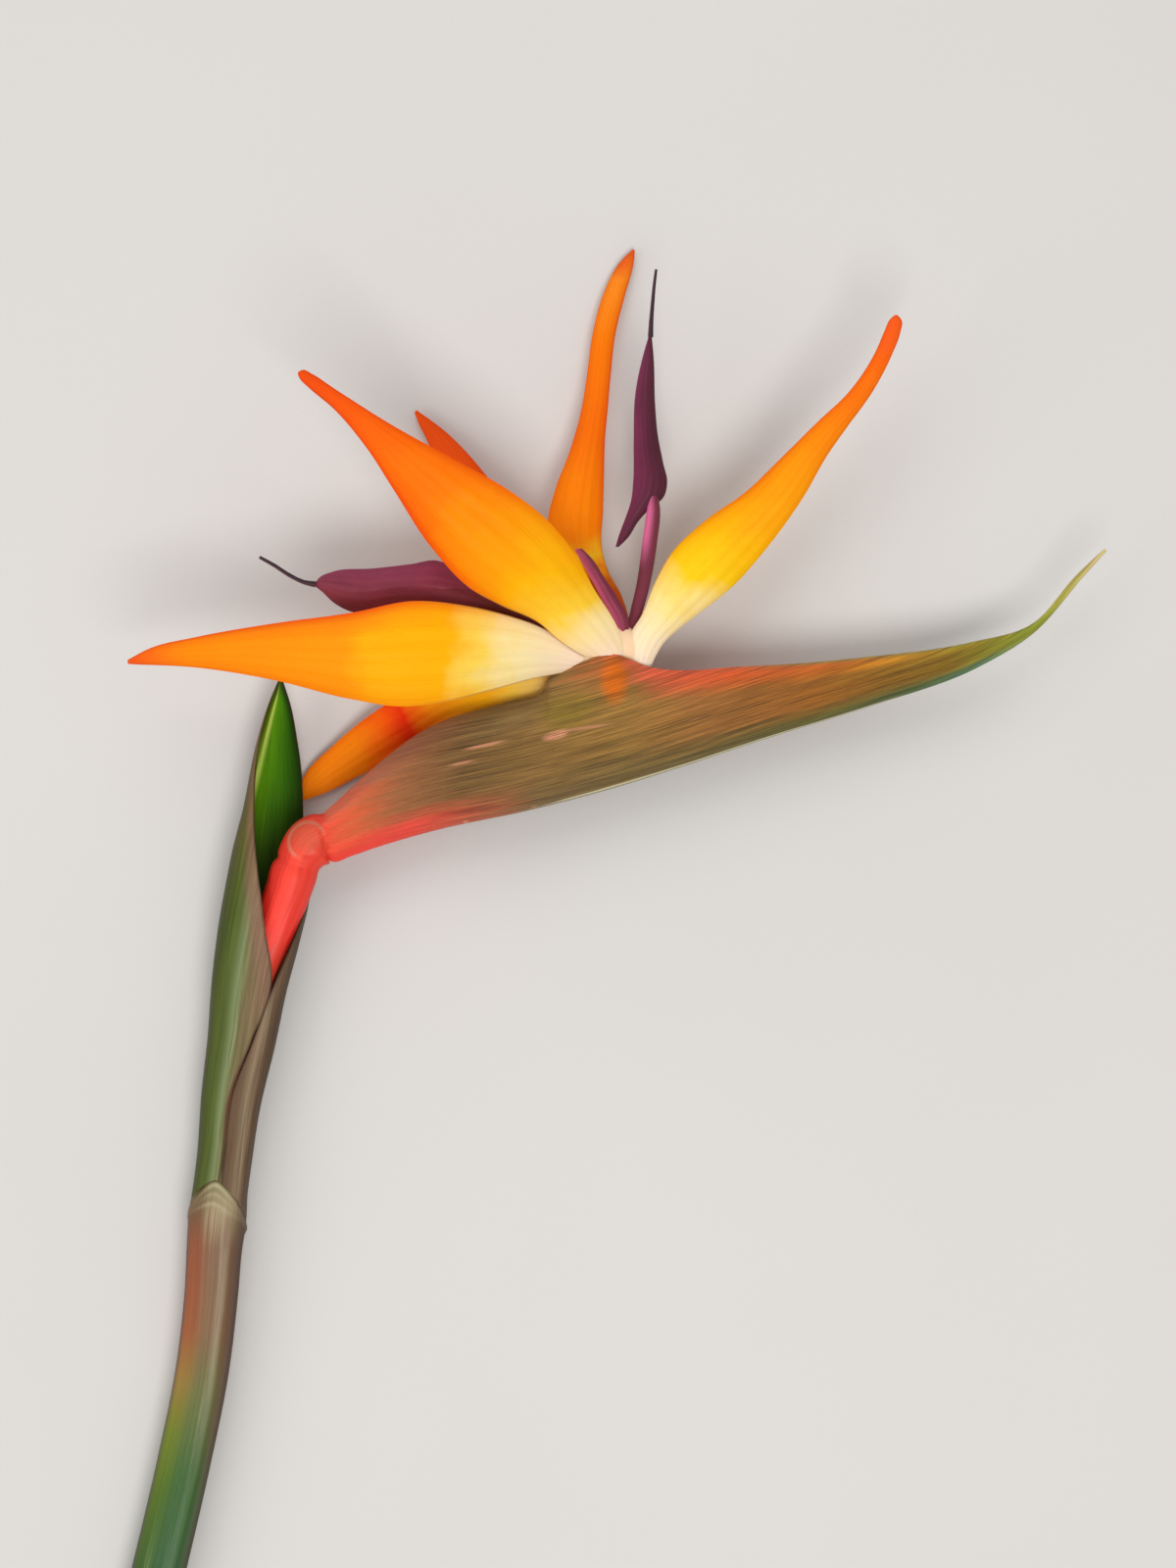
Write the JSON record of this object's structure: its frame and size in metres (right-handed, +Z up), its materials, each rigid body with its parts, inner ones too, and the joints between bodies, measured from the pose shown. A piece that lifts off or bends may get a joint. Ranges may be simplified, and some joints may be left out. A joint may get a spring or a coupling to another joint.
{
  "type": "bird of paradise flower",
  "caption": "Cut bird of paradise flower lying on its side: boat-shaped beaked bract with orange sepals and purple arrow petals on a sheathed green stem.",
  "frame": {"origin": "centre of the bounding box's base, on the surface the flower lies on", "axes": "+Z up from that surface, +Y from the cut end of the stem towards the blooms, +X along the beaked bract towards its tip"},
  "size_m": [0.2306, 0.3484, 0.0475],
  "materials": {
    "stem": "waxy living stem, satin",
    "sheath": "waxy leaf tissue, satin",
    "spathe": "finely ribbed waxy bract, satin",
    "sepal": "soft petal, satin",
    "arrow": "soft dark petal, satin",
    "floral_base": "fleshy floral tissue, satin"
  },
  "bodies": {
    "root": {"stem": "stem", "sheath_bract": "sheath", "spathe": "spathe", "flower_base_front": "floral_base", "flower_base_back": "floral_base", "sepal_left": "sepal", "sepal_front_left": "sepal", "sepal_centre": "sepal", "sepal_right": "sepal", "sepal_behind": "sepal", "sepal_low": "sepal", "arrow_front": "arrow", "arrow_back": "arrow", "style_front": "arrow", "style_back": "arrow", "nectary_petal": "arrow"}
  },
  "joints": []
}
